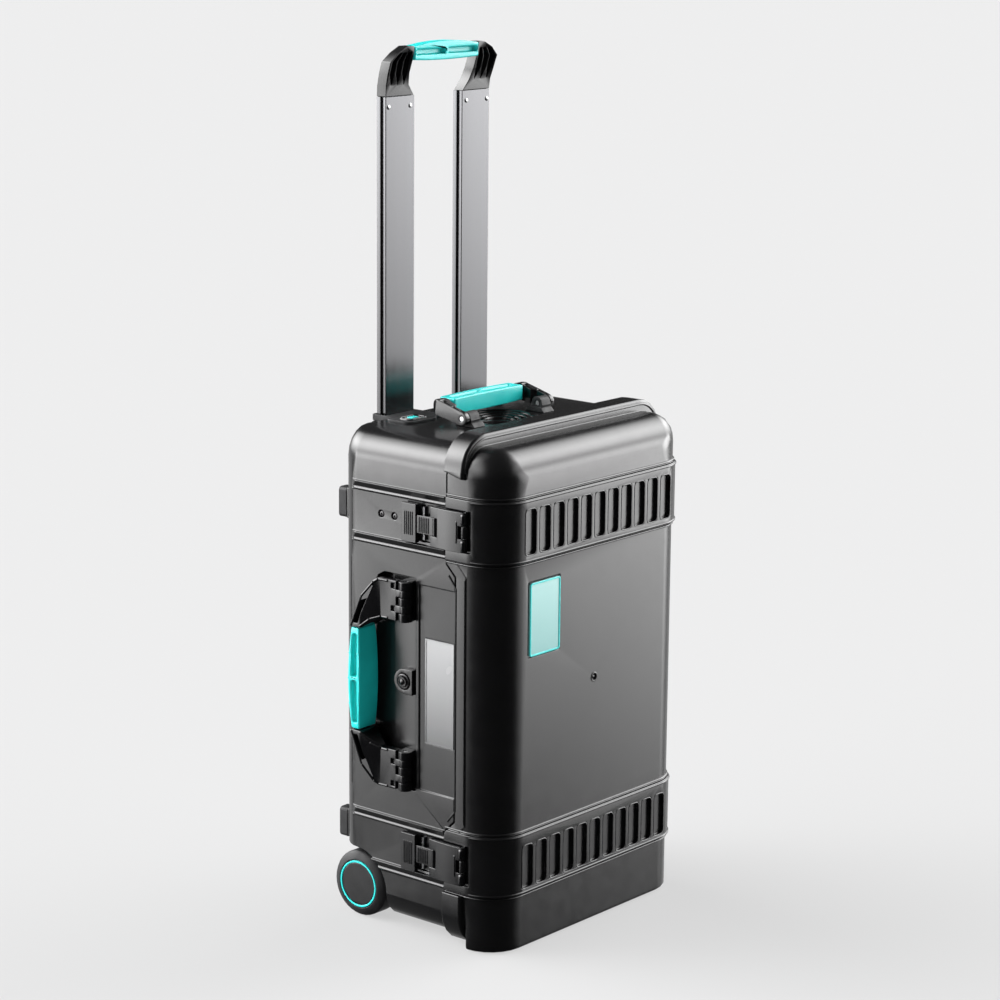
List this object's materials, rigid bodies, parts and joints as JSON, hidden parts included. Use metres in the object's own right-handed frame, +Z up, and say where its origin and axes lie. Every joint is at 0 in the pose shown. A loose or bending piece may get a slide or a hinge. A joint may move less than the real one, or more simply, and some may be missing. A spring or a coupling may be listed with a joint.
{
  "type": "wheeled drone carrying case",
  "caption": "Upright hard-shell wheeled case for a drone, with side-hinged lid, press latches, folding carry handles and a sliding trolley handle.",
  "frame": {"origin": "middle of the standing foot's lower face, on the floor, under the base's front edge", "axes": "+Z up along the case's length, -Y out of the lid's large face, -X out of the latch side, +X out of the hinge side"},
  "size_m": [0.3635, 0.2505, 0.9593],
  "materials": {
    "case_shell": "fine-textured satin black injection-moulded plastic",
    "black_fitting": "smoother satin black moulded plastic",
    "teal_grip": "satin teal moulded plastic",
    "badge": "light teal gloss plate, plain",
    "label": "silver-grey label plate",
    "black_rubber": "matte black rubber",
    "wheel_tyre": "dark grey rubber tread",
    "foam": "charcoal closed-cell foam",
    "anodised_pole": "black anodised extrusion",
    "steel_pin": "plain steel"
  },
  "bodies": {
    "base": {"base_shell": "case_shell", "standing_foot": "black_rubber", "rear_foot_upper_left": "black_rubber", "rear_foot_upper_right": "black_rubber", "rear_foot_lower_left": "black_rubber", "rear_foot_lower_right": "black_rubber", "trolley_housing": "black_fitting", "pole_collar_left": "black_fitting", "pole_collar_right": "black_fitting", "foam_pocket_layer": "foam", "foam_bottom_layer": "foam", "hinge_pin_upper": "steel_pin", "hinge_pin_lower": "steel_pin", "latch_strike_upper": "steel_pin", "latch_strike_lower": "steel_pin", "label_plate": "label", "valve_body": "black_fitting", "axle_left": "steel_pin", "axle_right": "steel_pin", "side_handle_mount_upper": "black_fitting", "side_handle_mount_lower": "black_fitting", "side_handle_pin_upper": "steel_pin", "side_handle_pin_lower": "steel_pin", "top_handle_mount_left": "black_fitting", "top_handle_mount_right": "black_fitting", "top_handle_pin_left": "steel_pin", "top_handle_pin_right": "steel_pin"},
    "lid": {"lid_shell": "case_shell", "lid_foam": "foam", "rim_seal": "black_rubber", "badge_plate": "badge"},
    "latch_upper": {"latch_plate_upper": "black_fitting", "latch_pin_upper": "steel_pin", "trigger_pin_upper": "steel_pin"},
    "trigger_upper": {"latch_trigger_upper": "black_fitting"},
    "latch_lower": {"latch_plate_lower": "black_fitting", "latch_pin_lower": "steel_pin", "trigger_pin_lower": "steel_pin"},
    "trigger_lower": {"latch_trigger_lower": "black_fitting"},
    "side_handle": {"side_handle_frame": "black_fitting", "side_handle_grip": "teal_grip"},
    "top_handle": {"top_handle_frame": "black_fitting", "top_handle_grip": "teal_grip"},
    "trolley": {"trolley_pole_left": "anodised_pole", "trolley_pole_right": "anodised_pole", "trolley_casting_left": "black_fitting", "trolley_casting_right": "black_fitting", "trolley_grip": "teal_grip"},
    "button_left": {"release_button_left": "teal_grip"},
    "button_right": {"release_button_right": "teal_grip"},
    "wheel_left": {"tyre_left": "wheel_tyre", "wheel_hub_left": "black_fitting", "wheel_ring_left": "teal_grip"},
    "wheel_right": {"tyre_right": "wheel_tyre", "wheel_hub_right": "black_fitting", "wheel_ring_right": "teal_grip"},
    "valve_knob": {"valve_knob": "black_fitting"}
  },
  "joints": [
    {"name": "lid_hinge", "type": "hinge", "parent": "base", "child": "lid", "pos_m": [0.171, -0.0183, 0.2815], "axis": [0, 0, 1], "range_deg": [0, 115]},
    {"name": "latch_upper_hinge", "type": "hinge", "parent": "lid", "child": "latch_upper", "pos_m": [-0.1685, -0.0465, 0.4648], "axis": [0, 0, 1], "range_deg": [0, 100]},
    {"name": "trigger_upper_hinge", "type": "hinge", "parent": "latch_upper", "child": "trigger_upper", "pos_m": [-0.1685, -0.0065, 0.4648], "axis": [0, 0, 1], "range_deg": [0, 25], "stiffness_Nm_per_rad": 0.2},
    {"name": "latch_lower_hinge", "type": "hinge", "parent": "lid", "child": "latch_lower", "pos_m": [-0.1685, -0.0465, 0.0969], "axis": [0, 0, 1], "range_deg": [0, 100]},
    {"name": "trigger_lower_hinge", "type": "hinge", "parent": "latch_lower", "child": "trigger_lower", "pos_m": [-0.1685, -0.0065, 0.0969], "axis": [0, 0, 1], "range_deg": [0, 25], "stiffness_Nm_per_rad": 0.2},
    {"name": "side_handle_hinge", "type": "hinge", "parent": "base", "child": "side_handle", "pos_m": [-0.17, 0.034, 0.2825], "axis": [0, 0, 1], "range_deg": [0, 100]},
    {"name": "top_handle_hinge", "type": "hinge", "parent": "base", "child": "top_handle", "pos_m": [0, 0.039, 0.5615], "axis": [1, 0, 0], "range_deg": [0, 95]},
    {"name": "trolley_slide", "type": "slide", "parent": "base", "child": "trolley", "axis": [0, 0, 1], "range_m": [-0.335, 0]},
    {"name": "button_left_press", "type": "slide", "parent": "base", "child": "button_left", "axis": [0, 0, -1], "range_m": [0, 0.0025], "stiffness_N_per_m": 900},
    {"name": "button_right_press", "type": "slide", "parent": "base", "child": "button_right", "axis": [0, 0, -1], "range_m": [0, 0.0025], "stiffness_N_per_m": 900},
    {"name": "wheel_left_spin", "type": "hinge", "parent": "base", "child": "wheel_left", "pos_m": [-0.147, 0.112, 0.0375], "axis": [1, 0, 0], "continuous": true},
    {"name": "wheel_right_spin", "type": "hinge", "parent": "base", "child": "wheel_right", "pos_m": [0.147, 0.112, 0.0375], "axis": [1, 0, 0], "continuous": true},
    {"name": "valve_knob_turn", "type": "hinge", "parent": "base", "child": "valve_knob", "pos_m": [-0.166, 0.0405, 0.286], "axis": [-1, 0, 0], "range_deg": [0, 270]}
  ]
}
